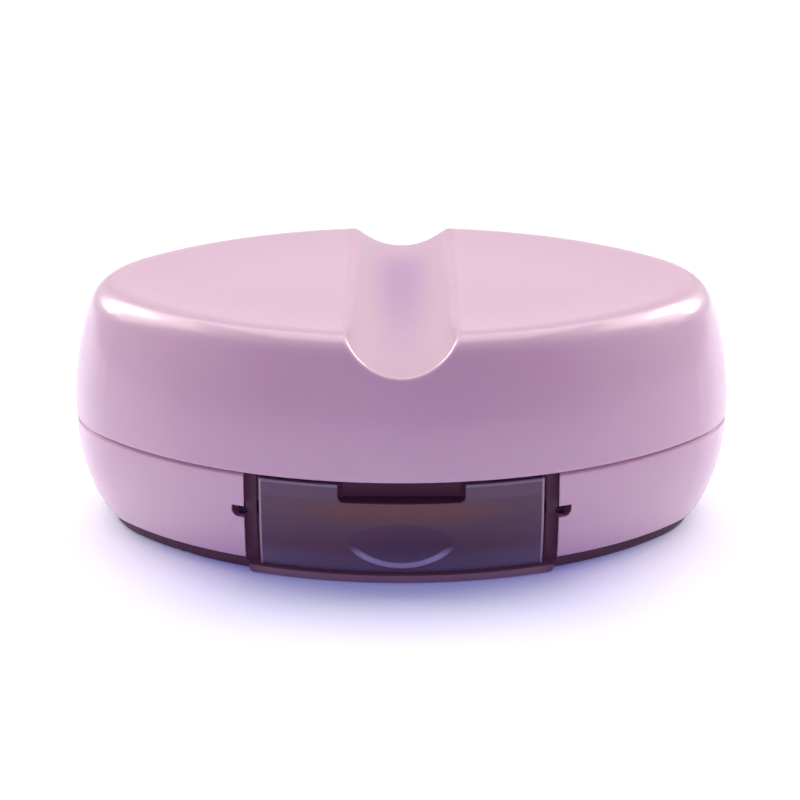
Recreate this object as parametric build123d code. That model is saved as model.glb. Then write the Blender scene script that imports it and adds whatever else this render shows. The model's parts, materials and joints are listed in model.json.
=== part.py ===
from build123d import *
import os
from math import asin, atan2, cos, degrees, pi, sin, sqrt

# A hinged travel case for contact lenses: an oval two-tone shell that opens like a clam, with a
# rocker latch in the front, a mirror in the lid and a double lens container in the base.
# Millimetres. The origin is the centre of the oval footprint on the table, +Z is up,
# the latch is at -Y and the hinge is at +Y.

# ---- plan of the case: an oval of four tangent arcs ----
HALF_WIDTH = 45.4
HALF_DEPTH = 34.0
LONG_ARC = 51.5                      # plan radius of the front and the back
END_ARC = (2 * LONG_ARC * HALF_DEPTH - HALF_WIDTH**2 - HALF_DEPTH**2) / (2 * (LONG_ARC - HALF_WIDTH))
LONG_CENTRE = LONG_ARC - HALF_DEPTH  # distance of the long arcs' centres from the middle, in Y
END_CENTRE = HALF_WIDTH - END_ARC    # distance of the end arcs' centres from the middle, in X
END_HALF_ANGLE = degrees(atan2(LONG_CENTRE, END_CENTRE))
FAR = 60.0                           # well outside the case, for cutters

# ---- heights ----
PARTING_Z = 15.2
PARTING_GAP = 0.12
RIM_Z = PARTING_Z + 18.65
SHELL_FOOT_Z = 2.2                   # lower edge of the coloured base shell

# ---- lid ----
LID_WALL = 1.8
LID_ROOF_Z = RIM_Z - 2.3             # underside of the lid's roof
LID_BELLY_Z = PARTING_Z + 1.5        # the widest level of the lid
LID_WALL_ARC = 42.0
LID_RIM_FILLET = 4.2
LID_INNER_FILLET = 1.6
EDGE_ROUND = 0.3                     # easing on both sides of the parting line
DISH_DEPTH = 1.0                     # hollow of the two finger rests
DISH_FLAT_INSET = 19.0               # where the hollow levels out
GROOVE_RADIUS = 8.0
GROOVE_DEPTH_FRONT = 4.85            # below the rim; the groove is shallower at the back
GROOVE_DEPTH_BACK = 3.55
GROOVE_WALL = 1.6
GROOVE_EDGE = 0.8
GROOVE_Z = RIM_Z - (GROOVE_DEPTH_FRONT + GROOVE_DEPTH_BACK) / 2 + GROOVE_RADIUS
GROOVE_TILT = degrees(atan2(GROOVE_DEPTH_FRONT - GROOVE_DEPTH_BACK, 2 * (HALF_DEPTH - LID_RIM_FILLET)))

# ---- base shell ----
BASE_WALL = 1.6
BASE_STEP = 0.12                     # the base is this much smaller than the lid at the parting
BASE_WALL_ARC = 26.25                # the wall leans in on this arc below the parting
OPENING_HALF = 20.75                 # the front opening for the latch
OPENING_BACK_Y = -15.0

# ---- tray inside the base shell ----
TRAY_PLAY = 0.1
TRAY_WALL = 1.25
TRAY_FLOOR_Z = 1.4
TRAY_RISE = 1.2                      # the tray's rim reaches this far up inside the lid
TRAY_RIM_LEAN = 0.12
TRAY_RIM_CHAMFER = 0.3
TRAY_FOOT_INSET = 5.0                # the foot stands back under the coloured shell
TRAY_FOOT_ROUND = 0.7
RING_INSET = 8.0                     # the ring moulded into the underside
RING_WIDTH = 1.2
RING_DEPTH = 0.4

# ---- latch and the pocket it rocks in ----
LIP_TOP_Z = 1.2                      # ledge of the tray under the latch
LIP_INSET = 3.6
LIP_HALF = 20.3
LIP_CORNER = 0.9
POCKET_Y = -23.8                     # front face of the wall behind the latch
POCKET_WALL = 1.2
CHEEK_INNER = 19.1
CHEEK_OUTER = OPENING_HALF - 0.08
CHEEK_RECESS = 1.2
PANEL_HALF = 18.75
PANEL_BACK_Y = -24.6                 # the panel's back corners are trimmed at this plane
PANEL_THICK = 1.7
PANEL_LOW_Z = 1.5
PANEL_TOP_Z = PARTING_Z - 0.35
PANEL_ROUND = 0.3
NOTCH_HALF = 8.35
NOTCH_FLOOR_Z = PARTING_Z - 2.8
NOTCH_ROUND = 0.8
TOOTH_FRONT_Y = -32.7
TOOTH_BACK_Y = -30.6
TOOTH_HIGH = 1.0
PIVOT_Y = -26.8
PIVOT_Z = PARTING_Z - 5.6
TRUNNION_R = 0.8
TRUNNION_END = 21.5
TRUNNION_PLAY = 0.04
ARM_WIDE = 1.4
ARM_HIGH = 3.6
SLOT_HALF_HEIGHT = 0.85
SLOT_END = 22.4
SLOT_ROUND = 1.0
SCOOP_RADIUS = 8.0
SCOOP_LEAN = 26.0                    # lean of the scoop's floor from the vertical
SCOOP_Z = 9.4                        # where that floor runs out into the panel
SCOOP_ROUND = 0.55
SCOOP_FLARE = 0.4
SPRING_HALF = 4.0
SPRING_THICK = 0.3
SPRING_TOP_Z = PARTING_Z - 1.7
SPRING_BEND_Z = 7.8
SPRING_TIP_Z = 3.0
SPRING_GAP = 0.12                    # between the spring's tip and the back of the latch

# ---- the lid's catch ----
CATCH_HALF = 7.8
CATCH_FACE_Y = -30.0
CATCH_THICK = 1.3
CATCH_HOOK = 0.3
CATCH_LOW_Z = PARTING_Z - 5.0
CATCH_SHOULDER_Z = PARTING_Z + 1.5

# ---- hinge ----
HINGE_Y = 34.2
HINGE_Z = PARTING_Z
KNUCKLE_R = 1.8
KNUCKLE_CLEAR = 0.3
LID_KNUCKLE_HALF = 9.0
LID_WEB_THICK = 1.6
LID_WEB_HIGH = 6.0
BASE_KNUCKLE_START = 9.2
BASE_KNUCKLE_END = 16.4
BASE_WEB_DEEP = 5.2
BASE_WEB_LOW = 6.5
PIN_R = 0.75
PIN_HALF = 15.6
PIN_PLAY_LID = 0.05
PIN_PLAY_BASE = 0.02

# ---- mirror and its bezel, held up in the lid by four lugs ----
BEZEL_LOW_Z = PARTING_Z + 9.5
BEZEL_TOP_Z = BEZEL_LOW_Z + 2.4
BEZEL_INSET = 3.3
GLASS_INSET = 9.0
GLASS_PLAY = 0.1
GLASS_THICK = 1.5
GLASS_LIP = 1.0
GLASS_LOW_Z = BEZEL_LOW_Z + 0.8
LUG_X = 26.0
LUG_Y = 20.0
LUG_SIZE = 9.0
LUG_OUTER = 1.9
LUG_INNER = 4.2
LUG_HIGH = 0.9

# ---- lens container ----
WELL_X = 17.0
WELL_Y = -6.0
CUP_FOOT_Z = 1.5
CUP_RIM_Z = PARTING_Z
NECK_R = 10.8
WELL_R = 9.4
WELL_FLOOR_Z = 3.2
WELL_CORNER_Z = 6.4
BRIDGE_HALF = 7.0
BRIDGE_TOP_Z = 6.4
BRIDGE_THICK = 1.8
BRIDGE_RIB = 1.4
THREAD_LEAD = 3.0
THREAD_START_Z = CUP_RIM_Z - 4.5
THREAD_DEPTH = 0.9
THREAD_BASE = 1.2
THREAD_CREST = 0.5
THREAD_ROOT = 0.3                    # how far a thread's root is sunk into its wall

# ---- caps and seals ----
CAP_R = 13.0
CAP_BORE_R = 12.0
CAP_LOW_Z = CUP_RIM_Z - 6.4
CAP_ROOF_Z = CUP_RIM_Z + 1.5
CAP_TOP_Z = CAP_ROOF_Z + 1.3
CAP_ROUND = 1.0
CAP_DISH = 0.3
CAP_RIBS = 32
CAP_RIB_R = 0.42
DOT_R = 0.8
DOT_PITCH = 3.2
SEAL_R = 10.9
SEAL_BORE_R = 8.7
SEAL_LOW_Z = CUP_RIM_Z + 0.02
SEAL_TOP_Z = CAP_ROOF_Z - 0.05

# ---- deck with its two tool pockets ----
DECK_TOP_Z = 9.2
DECK_THICK = 1.1
DECK_INSET = 4.45
DECK_TUB_INSET = 6.95
DECK_WELL_R = 14.0
DECK_SKIRT_Z = 3.8
DECK_PLAY = 0.3
POCKET_SKIN = 1.0
POCKET_FLOOR_Z = 3.8
TWEEZER_POCKET = (28.2, 12.4, 6.6)   # half length, middle in Y, width
STICK_POCKET = (19.9, 19.2, 4.4)

# ---- tools ----
TOOL_PLAY = 0.1                      # between a tool and the floor of its pocket
TWEEZER_Y = TWEEZER_POCKET[1]
TWEEZER_LOW_Z = POCKET_FLOOR_Z + TOOL_PLAY
TWEEZER_TAIL = -27.0
TWEEZER_TIP = 24.0
TWEEZER_HIGH = 3.6
TWEEZER_THICK = 1.1
TWEEZER_TAIL_GAP = 0.2
TWEEZER_NECK = 2.1                   # half widths of the pair of arms along their length
TWEEZER_BELLY = 2.9
TWEEZER_NOSE = 2.3
TWEEZER_HEEL = 3.2                   # width of the round heel that joins the arms
TIP_LONG = 6.4
TIP_SKIN = 0.5
STICK_Y = STICK_POCKET[1]
STICK_HALF = 19.3
STICK_R = 1.5
STICK_Z = POCKET_FLOOR_Z + TOOL_PLAY + 2.0
STICK_NECK_R = 0.9
PADDLE_LONG = 8.0
PADDLE_WIDE = 3.2
PADDLE_THICK = 1.2
CUP_LONG = 5.4
CUP_MOUTH_R = 2.0
CUP_HOLLOW_R = 1.6


def outline(inset):
    """The oval as a face, moved inwards by inset."""
    side = 90 - END_HALF_ANGLE
    long_r = LONG_ARC - inset
    end_r = END_ARC - inset
    arcs = [
        CenterArc((0, LONG_CENTRE), long_r, -90 - side, 2 * side),
        CenterArc((END_CENTRE, 0), end_r, -END_HALF_ANGLE, 2 * END_HALF_ANGLE),
        CenterArc((0, -LONG_CENTRE), long_r, 90 - side, 2 * side),
        CenterArc((-END_CENTRE, 0), end_r, 180 - END_HALF_ANGLE, 2 * END_HALF_ANGLE),
    ]
    return make_face(arcs)


def prism(inset, low, high):
    """A straight-sided oval block."""
    return Pos(0, 0, low) * extrude(outline(inset), high - low)


def oval_solid(wall):
    """A solid with the case's oval plan. wall holds the edges of its side, bottom to top,
    drawn with x as minus the inset from the oval and y as the height."""
    sectors = [
        (0, LONG_CENTRE, LONG_ARC, -90, 90 - END_HALF_ANGLE),
        (0, -LONG_CENTRE, LONG_ARC, 90, 90 - END_HALF_ANGLE),
        (END_CENTRE, 0, END_ARC, 0, END_HALF_ANGLE),
        (-END_CENTRE, 0, END_ARC, 180, END_HALF_ANGLE),
    ]
    solid = None
    for x, y, radius, middle, half in sectors:
        side = [Pos(radius, 0, 0) * edge for edge in wall]
        foot = side[0] @ 0
        head = side[-1] @ 1
        close = Polyline(head, (0, head.Y), (0, foot.Y), foot)
        face = Plane.XZ * make_face(side + [close])
        sector = revolve(face, Axis.Z, 2 * half)
        sector = Pos(x, y, 0) * Rot(0, 0, middle - half) * sector
        solid = sector if solid is None else solid + sector
    return solid


def base_inset(z, depth=0.0):
    """Inset of the base's outer surface at z, or of a surface that lies depth below it."""
    radius = BASE_WALL_ARC - depth
    return BASE_STEP + depth + radius - sqrt(radius**2 - (z - PARTING_Z) ** 2)


def base_arc(low, high, depth=0.0):
    """The base's wall line between two heights."""
    heights = (low, (low + high) / 2, high)
    return ThreePointArc(*[(-base_inset(z, depth), z) for z in heights])


def base_block(low, high, depth=0.0):
    """Everything inside the base's outer surface, or inside a surface depth below it."""
    return oval_solid([base_arc(low, high, depth)])


def lid_side(thick, roof_z, fillet_r, low_z):
    """The lid's wall line: straight, then an arc that leans in, then the rounded rim."""
    wall_r = LID_WALL_ARC - thick
    centre_x = -LID_WALL_ARC
    reach = roof_z - fillet_r - LID_BELLY_Z
    rim_x = centre_x + sqrt((wall_r - fillet_r) ** 2 - reach**2)
    lean = asin(reach / (wall_r - fillet_r))

    def on_wall(angle):
        return (centre_x + wall_r * cos(angle), LID_BELLY_Z + wall_r * sin(angle))

    turn = (lean + pi / 2) / 2
    middle = (rim_x + fillet_r * cos(turn), roof_z - fillet_r + fillet_r * sin(turn))
    return [
        Line((-thick, low_z), (-thick, LID_BELLY_Z)),
        ThreePointArc((-thick, LID_BELLY_Z), on_wall(lean / 2), on_wall(lean)),
        ThreePointArc(on_wall(lean), middle, (rim_x, roof_z)),
    ]


def bowl_side(rim_x, fillet_r):
    """The rounded rim's last stretch and the dish behind it. The dish is an arc that touches the
    rim's arc on the outside and is level where it meets the flat middle of the roof."""
    run = DISH_FLAT_INSET + rim_x
    bowl_r = (run**2 + DISH_DEPTH**2) / (2 * DISH_DEPTH) - fillet_r
    rim_z = RIM_Z - fillet_r
    bowl_z = RIM_Z - DISH_DEPTH + bowl_r
    touch = atan2(bowl_z - rim_z, -run)

    def on_rim(angle):
        return (rim_x + fillet_r * cos(angle), rim_z + fillet_r * sin(angle))

    def on_bowl(angle):
        return (-DISH_FLAT_INSET + bowl_r * cos(angle), bowl_z + bowl_r * sin(angle))

    start = touch - pi
    return [
        ThreePointArc(on_rim(pi / 2), on_rim((pi / 2 + touch) / 2), on_rim(touch)),
        ThreePointArc(on_bowl(start), on_bowl((start - pi / 2) / 2), on_bowl(-pi / 2)),
    ]


def lid_block():
    """The lid's outer form: rounded parting edge, wall, rim and dished roof in one smooth line."""
    low = PARTING_Z + PARTING_GAP / 2
    bend = EDGE_ROUND * (1 - sin(pi / 4))
    edge = ThreePointArc((-EDGE_ROUND, low), (-bend, low + bend), (0, low + EDGE_ROUND))
    side = lid_side(0.0, RIM_Z, LID_RIM_FILLET, low + EDGE_ROUND)
    rim_x = (side[-1] @ 1).X
    return oval_solid([edge] + side + bowl_side(rim_x, LID_RIM_FILLET))


def rod_x(radius, x0, x1, y, z):
    """A cylinder along X from x0 to x1."""
    return Pos((x0 + x1) / 2, y, z) * Rot(0, 90, 0) * Cylinder(radius, x1 - x0)


def hinge_rod(radius, x0, x1):
    return rod_x(radius, x0, x1, HINGE_Y, HINGE_Z)


def groove_rod(radius):
    """A cylinder along the groove, right through the lid."""
    return Pos(0, 0, GROOVE_Z) * Rot(90 + GROOVE_TILT, 0, 0) * Cylinder(radius, 3 * HALF_DEPTH)


def span_box(x0, x1, y0, y1, z0, z1):
    """A box between two corners."""
    middle = Pos((x0 + x1) / 2, (y0 + y1) / 2, (z0 + z1) / 2)
    return middle * Box(x1 - x0, y1 - y0, z1 - z0)


def both_sides(piece):
    return piece + mirror(piece, Plane.YZ)


def side_profile(points, x0, x1):
    """A solid from x0 to x1 whose side view has the given (y, z) corners."""
    face = make_face(Polyline(*points, close=True))
    return Pos(x0, 0, 0) * extrude(Plane.YZ * face, x1 - x0)


def turned(lines):
    """A solid of revolution about Z from lines drawn as (radius, height)."""
    return revolve(Plane.XZ * make_face(lines), Axis.Z)


def at_well(side, piece):
    return Pos(side * WELL_X, WELL_Y, 0) * piece


def cut_groove(block):
    """The groove across the roof, with one rounded edge that runs all the way round it."""
    grooved = block - groove_rod(GROOVE_RADIUS)
    edges = ShapeList()
    for face in grooved.faces().filter_by(GeomType.CYLINDER):
        if abs(face.radius - GROOVE_RADIUS) < 0.01:
            edges += face.edges()
    return fillet(edges, GROOVE_EDGE)


def bezel_lugs():
    """Four lugs on the inside of the lid's wall that the mirror's bezel rests on."""
    top = BEZEL_LOW_Z - 0.1
    ring = prism(LUG_OUTER, top - LUG_HIGH, top) - prism(LUG_INNER, top - LUG_HIGH - 1, top + 1)
    spots = [(x, y) for x in (-LUG_X, LUG_X) for y in (-LUG_Y, LUG_Y)]
    return [Pos(x, y, top) * Box(LUG_SIZE, LUG_SIZE, 4 * LUG_HIGH) & ring for x, y in spots]


def lid_hinge_web():
    low = HINGE_Z + PARTING_GAP / 2
    corners = [
        (HINGE_Y - LID_WEB_THICK, low),
        (HINGE_Y, low),
        (HINGE_Y, HINGE_Z + KNUCKLE_R),
        (HINGE_Y - 0.75 * LID_WEB_THICK, HINGE_Z + LID_WEB_HIGH),
        (HINGE_Y - LID_WEB_THICK, HINGE_Z + LID_WEB_HIGH),
    ]
    return side_profile(corners, -LID_KNUCKLE_HALF, LID_KNUCKLE_HALF)


def make_lid_shell():
    cavity = oval_solid(lid_side(LID_WALL, LID_ROOF_Z, LID_INNER_FILLET, PARTING_Z - 1))
    cavity -= groove_rod(GROOVE_RADIUS + GROOVE_WALL)
    shell = cut_groove(lid_block()) - cavity + bezel_lugs()
    shell += hinge_rod(KNUCKLE_R, -LID_KNUCKLE_HALF, LID_KNUCKLE_HALF) + lid_hinge_web()
    clear = KNUCKLE_R + KNUCKLE_CLEAR
    shell -= both_sides(hinge_rod(clear, BASE_KNUCKLE_START - 0.2, BASE_KNUCKLE_END + 0.3))
    shell -= hinge_rod(PIN_R + PIN_PLAY_LID, -BASE_KNUCKLE_START, BASE_KNUCKLE_START)
    return shell


def base_hinge_web():
    """The gusset under the right-hand base knuckle."""
    top = HINGE_Z - PARTING_GAP / 2
    corners = [
        (HINGE_Y - BASE_WEB_DEEP, top),
        (HINGE_Y, top),
        (HINGE_Y, HINGE_Z - KNUCKLE_R),
        (HINGE_Y - 0.2 * BASE_WEB_DEEP, HINGE_Z - KNUCKLE_R),
        (HINGE_Y - 0.75 * BASE_WEB_DEEP, HINGE_Z - BASE_WEB_LOW),
        (HINGE_Y - BASE_WEB_DEEP, HINGE_Z - BASE_WEB_LOW),
    ]
    web = side_profile(corners, BASE_KNUCKLE_START, BASE_KNUCKLE_END)
    return web - base_block(SHELL_FOOT_Z, PARTING_Z + 1, BASE_WALL)


def trunnion_slot():
    """The slot in the right-hand edge of the opening that the latch's trunnion sits in."""
    low = PIVOT_Z - SLOT_HALF_HEIGHT
    high = PIVOT_Z + SLOT_HALF_HEIGHT
    slot = span_box(OPENING_HALF - 1, SLOT_END, -FAR, OPENING_BACK_Y, low, high)
    corner = slot.edges().filter_by(Axis.Y).group_by(Axis.Z)[0].sort_by(Axis.X)[-1]
    return fillet(corner, SLOT_ROUND)


def make_base_shell():
    low = PARTING_Z - PARTING_GAP / 2
    top = base_inset(low)
    arc = base_arc(SHELL_FOOT_Z, low - EDGE_ROUND)
    edge = Line(arc @ 1, (-top - EDGE_ROUND, low))
    shell = oval_solid([arc, edge]) - base_block(SHELL_FOOT_Z - 1, PARTING_Z + 1, BASE_WALL)
    shell -= span_box(-OPENING_HALF, OPENING_HALF, -FAR, OPENING_BACK_Y, 0, PARTING_Z + 1)
    shell += both_sides(base_hinge_web() + hinge_rod(KNUCKLE_R, BASE_KNUCKLE_START, BASE_KNUCKLE_END))
    shell -= hinge_rod(KNUCKLE_R + KNUCKLE_CLEAR, -BASE_KNUCKLE_START, BASE_KNUCKLE_START)
    shell -= hinge_rod(PIN_R + PIN_PLAY_BASE, -PIN_HALF - 0.05, PIN_HALF + 0.05)
    return shell - both_sides(trunnion_slot())


def foot_side(inset, high):
    """The wall line of a foot: a rounded lower edge and a straight side."""
    bend = TRAY_FOOT_ROUND * (1 - sin(pi / 4))
    return [
        ThreePointArc((-inset - TRAY_FOOT_ROUND, 0), (-inset - bend, bend), (-inset, TRAY_FOOT_ROUND)),
        Line((-inset, TRAY_FOOT_ROUND), (-inset, high)),
    ]


def tray_block():
    """The tray's outer form: rounded foot, then the inside of the shell, then a rim with a lead-in."""
    depth = BASE_WALL + TRAY_PLAY
    foot_z = SHELL_FOOT_Z - TRAY_PLAY
    lip = base_inset(PARTING_Z, depth)
    top_z = PARTING_Z + TRAY_RISE
    side = foot_side(TRAY_FOOT_INSET, foot_z) + [
        Line((-TRAY_FOOT_INSET, foot_z), (-base_inset(foot_z, depth), foot_z)),
        base_arc(foot_z, PARTING_Z, depth),
        Line((-lip, PARTING_Z), (-lip - TRAY_RIM_LEAN, top_z - TRAY_RIM_CHAMFER)),
        Line((-lip - TRAY_RIM_LEAN, top_z - TRAY_RIM_CHAMFER), (-lip - TRAY_RIM_LEAN * 3, top_z)),
    ]
    return oval_solid(side)


def make_base_tray():
    depth = BASE_WALL + TRAY_PLAY
    top_z = PARTING_Z + TRAY_RISE
    behind = span_box(-FAR, FAR, POCKET_Y + POCKET_WALL, FAR, 0, FAR)
    beside = span_box(OPENING_HALF + 4, FAR, -FAR, FAR, 0, FAR)
    hollow = base_block(TRAY_FLOOR_Z, top_z + 1, depth + TRAY_WALL)
    tray = tray_block() - (hollow & (behind + both_sides(beside)))
    # the ledge that stands out under the latch, and the pocket that the latch rocks in
    ledge = span_box(-LIP_HALF, LIP_HALF, -FAR, POCKET_Y, 0, LIP_TOP_Z)
    ledge = fillet(ledge.edges().filter_by(Axis.Y).group_by(Axis.Z)[0], LIP_CORNER)
    tray += ledge & oval_solid(foot_side(LIP_INSET, LIP_TOP_Z))
    tray -= span_box(-CHEEK_OUTER, CHEEK_OUTER, -FAR, POCKET_Y, LIP_TOP_Z, FAR)
    cheek_top = PARTING_Z - 0.1
    cheek = span_box(CHEEK_INNER, CHEEK_OUTER, -FAR, POCKET_Y, LIP_TOP_Z - 0.2, cheek_top)
    tray += both_sides(cheek & base_block(LIP_TOP_Z - 1, cheek_top, CHEEK_RECESS))
    tray -= prism(RING_INSET, -1, RING_DEPTH) - prism(RING_INSET + RING_WIDTH, -2, RING_DEPTH + 1)
    trunnion_hole = TRUNNION_R + TRUNNION_PLAY
    tray -= rod_x(trunnion_hole, -TRUNNION_END - 1, TRUNNION_END + 1, PIVOT_Y, PIVOT_Z)
    tray -= hinge_rod(KNUCKLE_R + KNUCKLE_CLEAR, -BASE_KNUCKLE_START, BASE_KNUCKLE_START)
    return tray


def latch_panel():
    """The curved panel, flush with the base's surface, with eased ends and the notch for the catch."""
    outer = base_block(PANEL_LOW_Z, PANEL_TOP_Z)
    inner = base_block(PANEL_LOW_Z - 1, PANEL_TOP_Z + 1, PANEL_THICK)
    panel = (outer - inner) & span_box(-PANEL_HALF, PANEL_HALF, -FAR, PANEL_BACK_Y, 0, FAR)
    ends = [
        edge
        for edge in panel.edges()
        if abs(abs(edge.center().X) - PANEL_HALF) < 0.01 and edge.length > PANEL_TOP_Z - PANEL_LOW_Z
    ]
    front = ShapeList(ends).sort_by(Axis.Y)[:2]
    panel = fillet(front, PANEL_ROUND)
    notch = span_box(-NOTCH_HALF, NOTCH_HALF, -FAR, 0, NOTCH_FLOOR_Z, FAR)
    corners = notch.edges().filter_by(Axis.Y).group_by(Axis.Z)[0]
    return panel - fillet(corners, NOTCH_ROUND)


def scoop():
    """The thumb scoop: a round cutter that leans, so its floor is deepest at the foot."""
    surface_y = -HALF_DEPTH + base_inset(SCOOP_Z)
    low_end = (Align.CENTER, Align.CENTER, Align.MIN)
    cutter = Cone(SCOOP_RADIUS, SCOOP_RADIUS + SCOOP_FLARE, 6.0, align=low_end)
    floor_edge = cutter.edges().filter_by(GeomType.CIRCLE).sort_by(Axis.Z)[0]
    cutter = fillet(floor_edge, SCOOP_ROUND)
    return Pos(0, surface_y, SCOOP_Z) * Rot(90 + SCOOP_LEAN, 0, 0) * cutter


def make_latch():
    tooth_low = NOTCH_FLOOR_Z - TOOTH_HIGH
    tooth = span_box(
        -CATCH_HALF, CATCH_HALF, TOOTH_FRONT_Y, TOOTH_BACK_Y, tooth_low, NOTCH_FLOOR_Z
    )
    arm_low = PIVOT_Z - ARM_HIGH / 2
    arm_back = PIVOT_Y + TRUNNION_R
    arm = span_box(PANEL_HALF - ARM_WIDE, PANEL_HALF, -30, arm_back, arm_low, arm_low + ARM_HIGH)
    arm &= base_block(PANEL_LOW_Z, PANEL_TOP_Z, PANEL_THICK / 2)
    trunnion = rod_x(TRUNNION_R, PANEL_HALF - ARM_WIDE / 2, TRUNNION_END, PIVOT_Y, PIVOT_Z)
    return latch_panel() + tooth + both_sides(arm + trunnion) - scoop()


def make_latch_spring():
    """A leaf that is fixed to the pocket wall and pushes the foot of the latch outwards."""
    back = POCKET_Y - 0.02
    tip = -HALF_DEPTH + base_inset(SPRING_TIP_Z, PANEL_THICK) + SPRING_HALF**2 / (2 * LONG_ARC)
    tip += SPRING_GAP
    toe = tip + 0.45
    corners = [
        (back, SPRING_TOP_Z),
        (back, SPRING_BEND_Z),
        (tip + SPRING_THICK, SPRING_TIP_Z + 0.05),
        (toe + SPRING_THICK, SPRING_TIP_Z - 0.9),
        (toe, SPRING_TIP_Z - 0.95),
        (tip, SPRING_TIP_Z),
        (back - SPRING_THICK, SPRING_BEND_Z + 0.15),
        (back - SPRING_THICK, SPRING_TOP_Z),
    ]
    return side_profile(corners, -SPRING_HALF, SPRING_HALF)


def make_lid_catch():
    """The dark hook that hangs from the lid behind the notch of the latch."""
    face = CATCH_FACE_Y
    roof = BEZEL_LOW_Z - 0.3
    corners = [
        (face, CATCH_LOW_Z),
        (face - CATCH_HOOK, CATCH_LOW_Z + 0.5),
        (face - CATCH_HOOK, CATCH_LOW_Z + 1.0),
        (face, CATCH_LOW_Z + 1.0),
        (face, CATCH_SHOULDER_Z),
        (-HALF_DEPTH, CATCH_SHOULDER_Z),
        (-HALF_DEPTH, roof),
        (face - 0.4, roof),
        (face - 0.4, CATCH_SHOULDER_Z + 2),
        (face + CATCH_THICK, CATCH_SHOULDER_Z + 0.8),
        (face + CATCH_THICK, CATCH_LOW_Z),
    ]
    hook = side_profile(corners, -CATCH_HALF, CATCH_HALF)
    return hook & oval_solid(lid_side(LID_WALL + 0.03, LID_ROOF_Z, LID_INNER_FILLET, CATCH_LOW_Z - 1))


def make_hinge_pin():
    return hinge_rod(PIN_R, -PIN_HALF, PIN_HALF)


def make_mirror_bezel():
    bezel = prism(BEZEL_INSET, BEZEL_LOW_Z, BEZEL_TOP_Z)
    bezel -= prism(GLASS_INSET, GLASS_LOW_Z, BEZEL_TOP_Z + 1)
    return bezel - prism(GLASS_INSET + GLASS_LIP, BEZEL_LOW_Z - 1, BEZEL_TOP_Z)


def make_mirror_glass():
    return prism(GLASS_INSET + GLASS_PLAY, GLASS_LOW_Z + 0.01, GLASS_LOW_Z + GLASS_THICK)


def thread(radius, inward, start_z):
    """One turn of a coarse thread that stands out of a wall of the given radius."""
    sign = -1 if inward else 1
    root = radius - sign * THREAD_ROOT
    crest = radius + sign * THREAD_DEPTH
    path = Pos(0, 0, start_z) * Helix(THREAD_LEAD, THREAD_LEAD, radius)
    corners = [
        (root, -THREAD_BASE / 2),
        (crest, -THREAD_CREST / 2),
        (crest, THREAD_CREST / 2),
        (root, THREAD_BASE / 2),
    ]
    face = Pos(0, 0, start_z) * (Plane.XZ * make_face(Polyline(*corners, close=True)))
    return sweep(face, path=path, is_frenet=True)


def make_cup():
    """One well with its threaded neck and a rounded bowl."""
    body = Pos(0, 0, (CUP_FOOT_Z + CUP_RIM_Z) / 2) * Cylinder(NECK_R, CUP_RIM_Z - CUP_FOOT_Z)
    low = (0, WELL_FLOOR_Z)
    corner = (WELL_R, WELL_CORNER_Z)
    top = CUP_RIM_Z + 1
    bowl = ThreePointArc(low, (WELL_R * 0.62, WELL_FLOOR_Z + 0.7), corner)
    hollow = turned([bowl, Polyline(corner, (WELL_R, top), (0, top), low)])
    return body + thread(NECK_R, False, THREAD_START_Z) - hollow


def make_lens_container():
    """Two cups joined by a flat bridge with a rib under it."""
    bridge = span_box(
        -WELL_X,
        WELL_X,
        WELL_Y - BRIDGE_HALF,
        WELL_Y + BRIDGE_HALF,
        BRIDGE_TOP_Z - BRIDGE_THICK,
        BRIDGE_TOP_Z,
    )
    rib = BRIDGE_RIB / 2
    bridge += span_box(-WELL_X, WELL_X, WELL_Y - rib, WELL_Y + rib, CUP_FOOT_Z, BRIDGE_TOP_Z)
    for side in (-1, 1):
        bridge -= at_well(side, Cylinder(NECK_R - 0.4, FAR))
    cup = make_cup()
    return bridge + at_well(-1, cup) + at_well(1, cup)


def cap_skin():
    """The plain cap: a skirt, a rounded shoulder and a slightly dished top."""
    shoulder_z = CAP_TOP_Z - CAP_ROUND
    bend = CAP_ROUND * (1 - sin(pi / 4))
    dish_z = CAP_TOP_Z - CAP_DISH
    return turned(
        [
            Polyline((CAP_BORE_R, CAP_LOW_Z), (CAP_R, CAP_LOW_Z), (CAP_R, shoulder_z)),
            ThreePointArc(
                (CAP_R, shoulder_z),
                (CAP_R - bend, CAP_TOP_Z - bend),
                (CAP_R - CAP_ROUND, CAP_TOP_Z),
            ),
            Polyline(
                (CAP_R - CAP_ROUND, CAP_TOP_Z),
                (CAP_R - 2 * CAP_ROUND, CAP_TOP_Z),
                (CAP_R - 2.4 * CAP_ROUND, dish_z),
                (0, dish_z),
                (0, CAP_ROOF_Z),
                (CAP_BORE_R, CAP_ROOF_Z),
                (CAP_BORE_R, CAP_LOW_Z),
            ),
        ]
    )


def make_cap(side, dots):
    """A ribbed screw cap with raised dots that tell the left one from the right one."""
    rib_low = CAP_LOW_Z + 0.6
    rib_high = CAP_TOP_Z - 1.4
    rib = Pos(CAP_R, 0, (rib_low + rib_high) / 2) * Cylinder(CAP_RIB_R, rib_high - rib_low)
    cap = cap_skin() + [Rot(0, 0, 360 * i / CAP_RIBS) * rib for i in range(CAP_RIBS)]
    cap += thread(CAP_BORE_R, True, THREAD_START_Z - THREAD_LEAD / 2)
    for i in range(dots):
        x = (i - (dots - 1) / 2) * DOT_PITCH
        cap += Pos(x, 0, CAP_TOP_Z - CAP_DISH / 2) * Cylinder(DOT_R, 0.5)
    return at_well(side, cap)


def make_seal(side):
    ring = Cylinder(SEAL_R, SEAL_TOP_Z - SEAL_LOW_Z) - Cylinder(SEAL_BORE_R, 5)
    return at_well(side, Pos(0, 0, (SEAL_LOW_Z + SEAL_TOP_Z) / 2) * ring)


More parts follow.
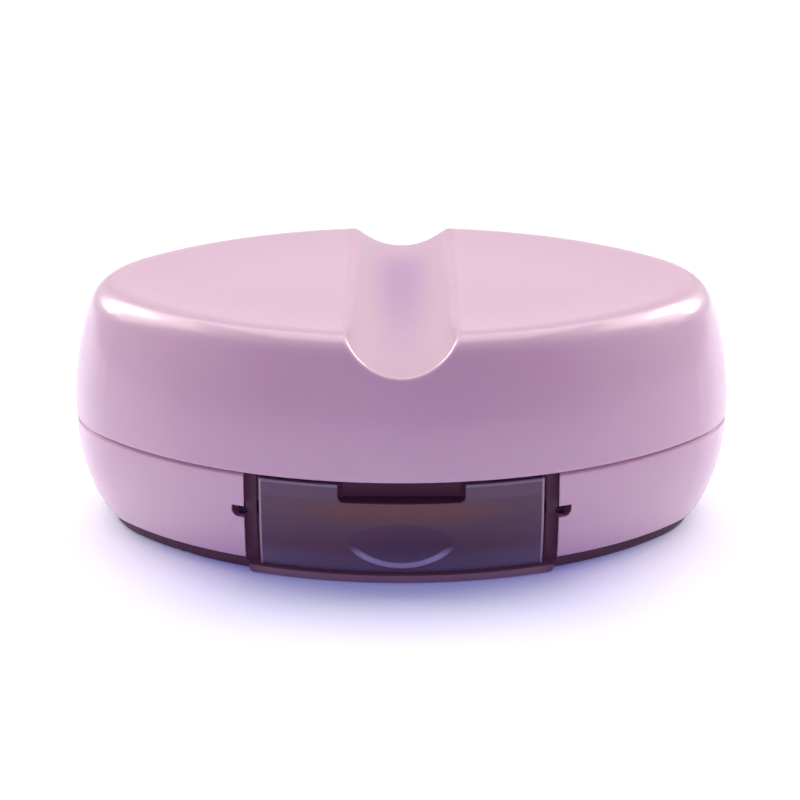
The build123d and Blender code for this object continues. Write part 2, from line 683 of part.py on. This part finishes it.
def pocket_block(pocket, skin, low, high):
    """A block around a tool pocket, larger by skin on every side."""
    half, middle, width = pocket
    reach = width / 2 + skin
    return span_box(-half - skin, half + skin, middle - reach, middle + reach, low, high)


def make_insert_deck():
    """The deck that frames the container and holds the tools in two open pockets."""
    deck = prism(DECK_INSET, DECK_TOP_Z - DECK_THICK, DECK_TOP_Z)
    tub_low = POCKET_FLOOR_Z - POCKET_SKIN
    inside = prism(DECK_TUB_INSET, tub_low, DECK_TOP_Z)
    skirt_high = DECK_TOP_Z - DECK_SKIRT_Z
    skirt = Pos(0, 0, DECK_SKIRT_Z + skirt_high / 2) * Cylinder(DECK_WELL_R + POCKET_SKIN, skirt_high)
    blocks = [at_well(side, skirt) for side in (-1, 1)]
    for pocket in (TWEEZER_POCKET, STICK_POCKET):
        blocks.append(pocket_block(pocket, POCKET_SKIN, tub_low, DECK_TOP_Z))
    deck += [block & inside for block in blocks]
    latch_wall = POCKET_Y + POCKET_WALL + DECK_PLAY / 2
    deck -= span_box(-FAR, FAR, -FAR, latch_wall, 0, FAR)
    reach = BRIDGE_HALF + DECK_PLAY
    deck -= span_box(-8, 8, WELL_Y - reach, WELL_Y + reach, 0, BRIDGE_TOP_Z + 0.2)
    deck -= [at_well(side, Cylinder(DECK_WELL_R, FAR)) for side in (-1, 1)]
    for pocket in (TWEEZER_POCKET, STICK_POCKET):
        deck -= pocket_block(pocket, 0, POCKET_FLOOR_Z, FAR)
    return deck


def tweezer_arm(side):
    """One arm: it leaves the heel, bows out and comes back in at the nose."""
    stations = [
        (TWEEZER_TAIL, TWEEZER_TAIL_GAP + TWEEZER_THICK),
        (TWEEZER_TAIL + 9, TWEEZER_NECK),
        (TWEEZER_TIP - 8, TWEEZER_BELLY),
        (TWEEZER_TIP, TWEEZER_NOSE),
    ]
    outer = [(x, side * y) for x, y in stations]
    inner = [(x, side * (y - TWEEZER_THICK)) for x, y in reversed(stations)]
    face = make_face(Polyline(*outer, *inner, close=True))
    return Pos(0, TWEEZER_Y, TWEEZER_LOW_Z) * extrude(face, TWEEZER_HIGH)


def make_tweezers():
    heel = extrude(SlotOverall(6, TWEEZER_HEEL), TWEEZER_HIGH)
    heel = Pos(TWEEZER_TAIL + 2.4, TWEEZER_Y, TWEEZER_LOW_Z) * heel
    return heel + tweezer_arm(-1) + tweezer_arm(1)


def make_tweezer_tip(side):
    """A soft sleeve pushed over the end of one arm."""
    middle = side * (TWEEZER_NOSE - TWEEZER_THICK / 2)
    sleeve = extrude(SlotOverall(TIP_LONG, TWEEZER_THICK + 2 * TIP_SKIN), TWEEZER_HIGH)
    sleeve = Pos(TWEEZER_TIP + 0.4, TWEEZER_Y + middle, TWEEZER_LOW_Z) * sleeve
    return sleeve - tweezer_arm(side)


def make_applicator_stick():
    """A rod with a spatula end and a neck for the suction cup."""
    rod = rod_x(STICK_R, -STICK_HALF + 5, STICK_HALF - 5, STICK_Y, STICK_Z)
    neck = rod_x(STICK_NECK_R, STICK_HALF - 6, STICK_HALF - 2, STICK_Y, STICK_Z)
    paddle = extrude(SlotOverall(PADDLE_LONG, PADDLE_WIDE), PADDLE_THICK / 2, both=True)
    return rod + neck + Pos(-STICK_HALF + 4, STICK_Y, STICK_Z) * Rot(90, 0, 0) * paddle


def make_applicator_cup():
    """A soft cup on the stick's neck that lifts a lens by suction."""
    low_end = (Align.CENTER, Align.CENTER, Align.MIN)
    cup = Cone(STICK_R, CUP_MOUTH_R, CUP_LONG, align=low_end)
    cup -= Cylinder(STICK_NECK_R + 0.02, 2 * 2.9)
    cup -= Pos(0, 0, CUP_LONG) * Sphere(CUP_HOLLOW_R)
    return Pos(STICK_HALF - 4.8, STICK_Y, STICK_Z) * Rot(0, 90, 0) * cup


NODES = {
    "lid_shell": make_lid_shell(),
    "lid_catch": make_lid_catch(),
    "mirror_bezel": make_mirror_bezel(),
    "mirror_glass": make_mirror_glass(),
    "hinge_pin": make_hinge_pin(),
    "base_shell": make_base_shell(),
    "base_tray": make_base_tray(),
    "insert_deck": make_insert_deck(),
    "latch": make_latch(),
    "latch_spring": make_latch_spring(),
    "lens_container": make_lens_container(),
    "left_cap": make_cap(-1, dots=1),
    "right_cap": make_cap(1, dots=2),
    "left_seal": make_seal(-1),
    "right_seal": make_seal(1),
    "tweezers": make_tweezers(),
    "tweezer_tip_front": make_tweezer_tip(-1),
    "tweezer_tip_back": make_tweezer_tip(1),
    "applicator_stick": make_applicator_stick(),
    "applicator_cup": make_applicator_cup(),
}

os.makedirs("parts", exist_ok=True)
for name, solid in NODES.items():
    export_step(solid, f"parts/{name}.step")
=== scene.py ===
import json
import math

import bpy
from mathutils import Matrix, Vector


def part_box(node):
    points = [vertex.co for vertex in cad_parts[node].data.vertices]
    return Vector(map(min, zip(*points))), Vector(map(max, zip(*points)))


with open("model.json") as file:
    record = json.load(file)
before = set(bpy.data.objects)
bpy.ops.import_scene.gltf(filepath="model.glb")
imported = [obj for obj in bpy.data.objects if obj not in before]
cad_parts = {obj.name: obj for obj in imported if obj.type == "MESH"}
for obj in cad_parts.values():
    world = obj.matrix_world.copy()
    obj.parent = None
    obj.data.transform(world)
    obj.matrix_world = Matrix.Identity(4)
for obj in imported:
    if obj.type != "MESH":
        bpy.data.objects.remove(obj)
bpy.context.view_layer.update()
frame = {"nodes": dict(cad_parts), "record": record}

MM = 0.001

# Heights and places that the looks depend on, read from the frame.
JOINTS = {joint["name"]: joint for joint in frame["record"]["behaviour"]["joints"]}
PARTING_Z = JOINTS["lid_hinge"]["pos_m"][2]
LATCH_LOW, LATCH_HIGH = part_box("latch")

# ---- textures ----
DRIFT = 38.0                         # slow changes of colour; noise scales are in cycles per metre
GRAIN = 5200.0
RIPPLE = 160.0
SCUFF = 900.0
LENGTHWAYS = (1.0, 6.0, 1.0)         # stretches a noise along X
ROUNDING = 0.25 * MM                 # how far a moulded edge looks rounded

# ---- where a look changes: two values are a mask's start and end, four are its rise and fall ----
WING_STARTS = (7.2 * MM, 8.2 * MM)   # the roof's wings, beside the groove
WING_FACES_UP = (0.93, 0.98)
PARTING_EDGES = (-0.60 * MM, -0.45 * MM, 0.05 * MM, 0.15 * MM)  # from the parting line
# Where the groove's painted purple shade lies.
GROOVE_SHADE_SIDE = (0.5 * MM, 6 * MM)
GROOVE_SHADE_ALONG = (-34 * MM, 14 * MM, 17 * MM, 33 * MM)
GROOVE_SHADE_RISE = (8 * MM, 10 * MM)                            # above the parting line
# Where the table's reflection is painted on the tray's ledge:
LEDGE_TOP = (1.15 * MM, 1.25 * MM)   # the tray's ledge under the latch
LEDGE_BACK = (-27 * MM, -25 * MM)
LEDGE_SIDE = (20.5 * MM, 20.7 * MM)

# The latch's painted light and shade, measured from its middle plane, above its foot, below its top
# or past its panel's end.
PIN_REACH = 2.75 * MM                # the latch's pins stand out this far beyond its panel
NOTCH_SIDE = (8.2 * MM, 8.5 * MM)
FOOT_REFLECTION = (0.5 * MM, 4.5 * MM)
HOOK_SIDE = (7 * MM, 17 * MM)
HOOK_BAND = (2.4 * MM, 2.6 * MM, 4.0 * MM, 6.5 * MM)
TOP_LIGHT_BAND = (1.9 * MM, 2.5 * MM)
TOP_HIGHLIGHT = (0.3 * MM, 0.5 * MM)
END_HIGHLIGHT = (-0.35 * MM, -0.25 * MM, -0.05 * MM, 0.05 * MM)
PIN_STARTS = (0.05 * MM, 0.15 * MM)
# Where the painted highlight on the scoop's lower rim lies.
SCOOP_RISE = 7.9 * MM                # the middle of the latch's round thumb scoop, above its foot
SCOOP_LEAN = math.radians(26)
SCOOP_RING = (7.1 * MM, 7.5 * MM, 8.0 * MM, 8.2 * MM)           # from the scoop's middle
SCOOP_RING_TOP = (2.0 * MM, 4.5 * MM)

# ---- camera ----
CAMERA_BACK = 419.4 * MM
CAMERA_RISE = 131.8 * MM             # above the parting line
CAMERA_PITCH = 17.34                 # degrees below the horizon
CAMERA_LENS = 141.3
SENSOR = 36.0
CAMERA_SHIFT = -0.0019

# ---- light ----
SKY = (1.0, 0.985, 1.0)
FRONT_SHADE = (0.45, 0.27, 0.61)     # the dim, bluish room in front of the object
SKY_STRENGTH = 0.62
SIDE_LAMP_AT = (0.43, 0.24, 0.36)
SIDE_LAMP_SIZE = (0.40, 0.40)
SIDE_LAMP_POWER = 1.7
WARM = (1.0, 0.90, 0.78)
GLINT_AT = (0.43, 0.31, 0.31)        # this pair shows in glossy surfaces only
GLINT_SIZE = (0.17, 0.30)
GLINT_POWER = 1.8
TOP_LAMP_AT = (0.0, 0.25, 0.7)
TOP_LAMP_SIZE = (0.6, 0.5)
TOP_LAMP_POWER = 2.2
AIM = (0.0, 0.0, 0.02)
SKY_TURN = (0.1, -0.8)               # where the sky turns from white to dim, along Y
TABLE_HALF = 3.0
TABLE_GLOW = (0.02, 0.06, 0.21, 1.0)         # the table top gives a cool light of its own,
TABLE_GLOW_BESIDE = (0.15, 0.19, 0.25, 1.0)  # which is stronger close by on both sides
BESIDE_ACROSS = (20 * MM, 44 * MM, 48 * MM, 66 * MM)
BESIDE_ALONG = (-60 * MM, -42 * MM, -5 * MM, 15 * MM)


def srgb(red, green, blue):
    """A display colour, 0 to 255, as the linear values that a shader node takes."""
    linear = []
    for value in (red, green, blue):
        share = value / 255
        linear.append(share / 12.92 if share <= 0.04045 else ((share + 0.055) / 1.055) ** 2.4)
    return (*linear, 1.0)


# ---- materials ----

# A mix node's colour sockets, which share their names with its other sockets.
FIRST_COLOUR, SECOND_COLOUR, MIXED_COLOUR = 6, 7, 2


class Graph:
    """A node tree, with one short call for each node."""

    def __init__(self, name):
        self.material = bpy.data.materials.new(name)
        self.material.use_nodes = True
        self.tree = self.material.node_tree
        self.tree.nodes.clear()
        self.output = self.add("ShaderNodeOutputMaterial")
        source = self.add("ShaderNodeTexCoord")
        self.coords = source.outputs["Object"]
        self.x, self.y, self.z = self.split(self.coords)
        self.facing_up = self.split(source.outputs["Normal"])[2]
        self.aside = self.calc("ABSOLUTE", self.x)

    def add(self, kind, **settings):
        """A new node, with its settings."""
        node = self.tree.nodes.new(kind)
        for key, value in settings.items():
            setattr(node, key, value)
        return node

    def link(self, source, target):
        self.tree.links.new(source, target)

    def set(self, node, **inputs):
        """Sets a node's inputs. A name's underscores stand for spaces; a socket is linked."""
        for key, value in inputs.items():
            target = node.inputs[key.replace("_", " ")]
            if isinstance(value, bpy.types.NodeSocket):
                self.link(value, target)
            else:
                target.default_value = value
        return node

    def split(self, vector):
        """A vector's three values."""
        return self.set(self.add("ShaderNodeSeparateXYZ"), Vector=vector).outputs

    def noise(self, scale, detail=3.0, stretch=None):
        """A noise value about 0.5, in the object's own frame."""
        vector = self.coords
        if stretch:
            mapping = self.set(self.add("ShaderNodeMapping"), Vector=vector, Scale=stretch)
            vector = mapping.outputs[0]
        node = self.add("ShaderNodeTexNoise")
        self.set(node, Vector=vector, Scale=scale, Detail=detail)
        return node.outputs["Fac"]

    def ramp(self, value, low, high, from_low=0.35, from_high=0.65):
        """Maps a value smoothly between two limits onto low to high."""
        node = self.add("ShaderNodeMapRange", interpolation_type="SMOOTHSTEP")
        self.set(node, Value=value, From_Min=from_low, From_Max=from_high, To_Min=low, To_Max=high)
        return node.outputs[0]

    def calc(self, operation, first, second=0.0):
        """The result of one sum, on sockets or numbers."""
        node = self.add("ShaderNodeMath", operation=operation)
        for socket, value in zip(node.inputs, (first, second)):
            if isinstance(value, bpy.types.NodeSocket):
                self.link(value, socket)
            else:
                socket.default_value = value
        return node.outputs[0]

    def times(self, *masks):
        """The product of several masks."""
        product = masks[0]
        for mask in masks[1:]:
            product = self.calc("MULTIPLY", product, mask)
        return product

    def below(self, value, full, end):
        """A mask that is 1 up to full and falls to 0 at end."""
        return self.ramp(value, 1.0, 0.0, full, end)

    def above(self, value, start, full):
        """A mask that rises from 0 at start to 1 at full."""
        return self.ramp(value, 0.0, 1.0, start, full)

    def between(self, value, start, full, fade, end):
        """A mask that rises from start to full and falls from fade to end."""
        return self.times(self.above(value, start, full), self.below(value, fade, end))

    def mix(self, factor, first, second):
        """A colour between two others: the second where factor is 1."""
        node = self.add("ShaderNodeMix", data_type="RGBA")
        self.link(factor, node.inputs["Factor"])
        for index, colour in ((FIRST_COLOUR, first), (SECOND_COLOUR, second)):
            if isinstance(colour, bpy.types.NodeSocket):
                self.link(colour, node.inputs[index])
            else:
                node.inputs[index].default_value = colour
        return node.outputs[MIXED_COLOUR]

    def layered(self, colour, layers):
        """A colour under layers, each a mask and the colour that it lets through."""
        for mask, tint in layers:
            colour = self.mix(mask, colour, tint)
        return colour

    def bump(self, height, strength, distance, normal=None):
        """A normal that is tilted by a height, on top of another normal if there is one."""
        node = self.add("ShaderNodeBump")
        self.set(node, Height=height, Strength=strength, Distance=distance)
        if normal is not None:
            self.link(normal, node.inputs["Normal"])
        return node.outputs[0]

    def rounded(self, radius):
        """A normal that is softened at edges, as a moulded or ground edge is."""
        node = self.set(self.add("ShaderNodeBevel", samples=6), Radius=radius)
        return node.outputs[0]

    def principled(self, **inputs):
        """The material's shader, joined to its output."""
        node = self.set(self.add("ShaderNodeBsdfPrincipled"), **inputs)
        self.link(node.outputs[0], self.output.inputs["Surface"])


def drift(g, colour, deep, scale=DRIFT):
    """A colour that drifts slowly to a slightly deeper one and back."""
    return g.mix(g.ramp(g.noise(scale), 0.0, 1.0), colour, deep)


def scuffs(g, roughness):
    """Roughness with small scuffs that run along the object's length."""
    return g.ramp(g.noise(SCUFF, 6.0, LENGTHWAYS), roughness - 0.04, roughness + 0.06)


def grained(g):
    """The normal of a moulded face: fine pebbled grain and rounded edges."""
    return g.bump(g.noise(GRAIN, 2.0), 0.10, 0.02 * MM, g.rounded(ROUNDING))


def rippled(g):
    """The normal of a glossier moulded face, which also shows a faint ripple."""
    return g.bump(g.noise(RIPPLE, 2.0), 0.06, 0.05 * MM, grained(g))


def wax(weight):
    """Inputs for a plastic that light enters a little way."""
    return {
        "Subsurface_Weight": weight,
        "Subsurface_Radius": (1.0, 0.6, 0.8),
        "Subsurface_Scale": 1.2 * MM,
    }


def moulded(name, colour, deep, roughness, waxy=0.0):
    """Moulded plastic: slow colour drift, fine pebbled grain, small scuffs and rounded edges."""
    g = Graph(name)
    g.principled(
        Base_Color=drift(g, colour, deep),
        Roughness=scuffs(g, roughness),
        Normal=rippled(g),
        Coat_Weight=0.25,
        Coat_Roughness=0.12,
        **wax(waxy),
    )
    return g.material


def shell(name, colour, deep):
    """The pink shells. They are glossy, but the roof's two wings are satin and the edges at the
    parting line dull, so that no lamp shows in them. The groove has a painted purple shade, the
    wings a painted sheen that makes up for the gloss they lose, and the edges at the parting line
    painted shade along the joint."""
    g = Graph(name)
    above_parting = g.calc("SUBTRACT", g.z, PARTING_Z)
    parting = g.between(above_parting, *PARTING_EDGES)
    wings = g.times(g.above(g.facing_up, *WING_FACES_UP), g.above(g.aside, *WING_STARTS))
    groove = g.times(
        g.below(g.aside, *GROOVE_SHADE_SIDE),
        g.between(g.y, *GROOVE_SHADE_ALONG),
        g.above(above_parting, *GROOVE_SHADE_RISE),
    )
    tint = drift(g, colour, deep)
    layers = [
        # painted purple shade in the groove
        (groove, srgb(182, 140, 184)),
        # painted sheen: the wings' tint makes up for the reflection that their satin finish loses
        (wings, srgb(206, 178, 196)),
        # painted shade along the joint where the two shells meet
        (parting, srgb(202, 162, 182)),
    ]
    dull = g.calc("MAXIMUM", parting, wings)
    g.principled(
        Base_Color=g.layered(tint, layers),
        Roughness=scuffs(g, 0.36),
        Normal=rippled(g),
        Specular_IOR_Level=g.ramp(dull, 0.5, 0.15, 0.0, 1.0),
        Coat_Weight=g.ramp(dull, 0.6, 0.0, 0.0, 1.0),
        Coat_Roughness=0.12,
        **wax(0.12),
    )
    return g.material


def scoop_highlight(g, rise):
    """A mask for the lower rim of the latch's round thumb scoop, which leans back; a highlight is
    painted there.
    """
    down = g.calc("DIVIDE", g.calc("SUBTRACT", rise, SCOOP_RISE), math.cos(SCOOP_LEAN))
    squares = g.calc("ADD", g.times(g.x, g.x), g.times(down, down))
    ring = g.between(g.calc("SQRT", squares), *SCOOP_RING)
    return g.times(ring, g.below(rise, *SCOOP_RING_TOP))


def smoked(name):
    """The latch's smoky plastic. The moulding is opaque, so light and shade are painted in bands: a
    cool reflection of the table along its foot, a warm shade where the hook behind shows through,
    light along its top, and highlights on its scoop's lower rim and its panel's ends. Its pins are
    painted dark, as shade in their slots."""
    g = Graph(name)
    rise = g.calc("SUBTRACT", g.z, LATCH_LOW[2])
    drop = g.calc("SUBTRACT", LATCH_HIGH[2], g.z)
    past_end = g.calc("SUBTRACT", g.aside, LATCH_HIGH[0] - PIN_REACH)
    beside_notch = g.above(g.aside, *NOTCH_SIDE)
    hook = g.times(g.below(g.aside, *HOOK_SIDE), g.between(drop, *HOOK_BAND))
    layers = [
        # painted reflection of the table along the latch's foot
        (g.below(rise, *FOOT_REFLECTION), srgb(98, 78, 104)),
        # painted warm shade where the hook behind shows through the smoke
        (hook, srgb(92, 46, 52)),
        # painted light along the top beside the notch, brightest at the top edge
        (g.times(g.below(drop, *TOP_LIGHT_BAND), beside_notch), srgb(86, 52, 84)),
        (g.times(g.below(drop, *TOP_HIGHLIGHT), beside_notch), srgb(118, 98, 126)),
        # painted highlight on the scoop's lower rim
        (scoop_highlight(g, rise), srgb(170, 156, 196)),
        # painted highlight on the panel's rounded ends
        (g.between(past_end, *END_HIGHLIGHT), srgb(150, 132, 152)),
        # painted shade: the pins sit in the shade of their slots
        (g.above(past_end, *PIN_STARTS), srgb(44, 24, 40)),
    ]
    g.principled(
        Base_Color=g.layered(drift(g, srgb(81, 44, 73), srgb(75, 40, 69), 60.0), layers),
        Roughness=0.25,
        Normal=g.bump(g.noise(4000.0, 2.0), 0.06, 0.02 * MM, g.rounded(0.3 * MM)),
        Specular_IOR_Level=g.ramp(past_end, 0.5, 0.1, *PIN_STARTS),
        Coat_Weight=g.ramp(past_end, 0.15, 0.0, *PIN_STARTS),
        Coat_Roughness=0.12,
    )
    return g.material


def plum(name):
    """The dark inner moulding, with a faint glow that keeps its shadows from going black. The
    ledge under the latch is paler, with a painted reflection of the bright table."""
    g = Graph(name)
    ledge = g.times(
        g.below(g.z, *LEDGE_TOP), g.below(g.y, *LEDGE_BACK), g.below(g.aside, *LEDGE_SIDE)
    )
    tint = drift(g, srgb(54, 22, 42), srgb(48, 19, 37))
    g.principled(
        # painted reflection of the bright table on the ledge
        Base_Color=g.mix(ledge, tint, srgb(126, 104, 112)),
        Roughness=scuffs(g, 0.54),
        Normal=grained(g),
        Specular_IOR_Level=0.35,
        Emission_Color=srgb(48, 25, 42),
        Emission_Strength=1.0,
    )
    return g.material


def steel(name):
    """Drawn steel with fine lines along its length."""
    g = Graph(name)
    lines = g.noise(3000.0, 4.0, (0.02, 1.0, 1.0))
    g.principled(
        Base_Color=g.mix(lines, srgb(150, 150, 156), srgb(196, 196, 200)),
        Metallic=1.0,
        Roughness=g.ramp(lines, 0.28, 0.40),
        Normal=g.bump(lines, 0.04, 0.01 * MM),
    )
    return g.material


def mirror_face(name):
    """Silvered glass with faint wiping marks."""
    g = Graph(name)
    wipe = g.noise(120.0, 5.0, (1.0, 4.0, 1.0))
    g.principled(
        Base_Color=srgb(228, 230, 236), Metallic=1.0, Roughness=g.ramp(wipe, 0.01, 0.06)
    )
    return g.material


LOOKS = {
    "shell_pink": shell("shell_pink", srgb(208, 172, 193), srgb(204, 167, 189)),
    "inner_plum": plum("inner_plum"),
    "latch_smoke": smoked("latch_smoke"),
    "steel": steel("steel"),
    "mirror": mirror_face("mirror"),
    "deck_white": moulded("deck_white", srgb(228, 214, 228), srgb(222, 206, 222), 0.42),
    "container_white": moulded("container_white", srgb(232, 232, 236), srgb(226, 226, 232), 0.3, 0.3),
    "cap_pink": moulded("cap_pink", srgb(232, 182, 210), srgb(226, 174, 204), 0.34, 0.1),
    "cap_white": moulded("cap_white", srgb(238, 236, 240), srgb(232, 230, 236), 0.34, 0.1),
    "soft_seal": moulded("soft_seal", srgb(214, 214, 220), srgb(204, 204, 212), 0.5, 0.4),
    "tool_pink": moulded("tool_pink", srgb(230, 176, 206), srgb(224, 168, 200), 0.3, 0.1),
    "soft_tip": moulded("soft_tip", srgb(238, 234, 238), srgb(230, 226, 232), 0.55, 0.4),
}


def dress():
    """Gives each CAD node the look of its material slot."""
    for entry in frame["record"]["subparts"]:
        node = frame["nodes"][entry["node"]]
        node.data.materials.clear()
        node.data.materials.append(LOOKS[entry["material_slot"]])


# ---- floor, light and camera ----


def floor():
    """A plain pale table top."""
    mesh = bpy.data.meshes.new("floor")
    corners = [(x * TABLE_HALF, y * TABLE_HALF, 0) for x, y in ((-1, -1), (1, -1), (1, 1), (-1, 1))]
    mesh.from_pydata(corners, [], [(0, 1, 2, 3)])
    plane = bpy.data.objects.new("floor", mesh)
    bpy.context.scene.collection.objects.link(plane)
    g = Graph("table_white")
    beside = g.times(g.between(g.aside, *BESIDE_ACROSS), g.between(g.y, *BESIDE_ALONG))
    g.principled(
        Base_Color=g.mix(g.noise(30.0), srgb(251, 250, 254), srgb(249, 248, 252)),
        Roughness=0.6,
        Emission_Color=g.mix(beside, TABLE_GLOW, TABLE_GLOW_BESIDE),
        Emission_Strength=1.0,
    )
    mesh.materials.append(g.material)


def area_light(name, place, size, power, colour=(1.0, 1.0, 1.0)):
    """A soft rectangular lamp that points at the object."""
    data = bpy.data.lights.new(name, "AREA")
    data.shape = "RECTANGLE"
    data.size, data.size_y = size
    data.energy = power
    data.color = colour
    lamp = bpy.data.objects.new(name, data)
    bpy.context.scene.collection.objects.link(lamp)
    lamp.location = place
    lamp.rotation_euler = (Vector(AIM) - Vector(place)).to_track_quat("-Z", "Y").to_euler()
    return lamp


def sky():
    """A white tent that is open, and so dimmer and bluer, on the camera's side."""
    world = bpy.data.worlds.new("studio")
    world.use_nodes = True
    tree = world.node_tree
    back = tree.nodes["Background"]
    back.inputs["Strength"].default_value = SKY_STRENGTH
    split = tree.nodes.new("ShaderNodeSeparateXYZ")
    tree.links.new(tree.nodes.new("ShaderNodeTexCoord").outputs["Generated"], split.inputs[0])
    ramp = tree.nodes.new("ShaderNodeMapRange")
    ramp.interpolation_type = "SMOOTHSTEP"
    ramp.inputs["From Min"].default_value, ramp.inputs["From Max"].default_value = SKY_TURN
    tree.links.new(split.outputs["Y"], ramp.inputs["Value"])
    mix = tree.nodes.new("ShaderNodeMix")
    mix.data_type = "RGBA"
    tree.links.new(ramp.outputs[0], mix.inputs["Factor"])
    mix.inputs[FIRST_COLOUR].default_value = (*SKY, 1.0)
    mix.inputs[SECOND_COLOUR].default_value = (*FRONT_SHADE, 1.0)
    tree.links.new(mix.outputs[MIXED_COLOUR], back.inputs["Color"])
    bpy.context.scene.world = world


def lamps():
    """A warm lamp and a glint on each side, behind the object, and a lamp above it."""
    x, y, z = SIDE_LAMP_AT
    gx, gy, gz = GLINT_AT
    for name, side in (("left", -1), ("right", 1)):
        area_light(name + "_lamp", (side * x, y, z), SIDE_LAMP_SIZE, SIDE_LAMP_POWER, WARM)
        glint = area_light(name + "_glint", (side * gx, gy, gz), GLINT_SIZE, GLINT_POWER)
        glint.visible_diffuse = False
    area_light("top_lamp", TOP_LAMP_AT, TOP_LAMP_SIZE, TOP_LAMP_POWER)


def photographer():
    """The camera, in front of the object and looking down on it."""
    data = bpy.data.cameras.new("camera")
    data.lens = CAMERA_LENS
    data.sensor_width = SENSOR
    data.shift_x = CAMERA_SHIFT
    data.clip_start = 0.01
    camera = bpy.data.objects.new("camera", data)
    bpy.context.scene.collection.objects.link(camera)
    camera.location = (0, -CAMERA_BACK, PARTING_Z + CAMERA_RISE)
    camera.rotation_euler = (math.radians(90 - CAMERA_PITCH), 0, 0)
    bpy.context.scene.camera = camera


dress()
floor()
sky()
lamps()
photographer()
bpy.context.scene.view_settings.view_transform = "Standard"
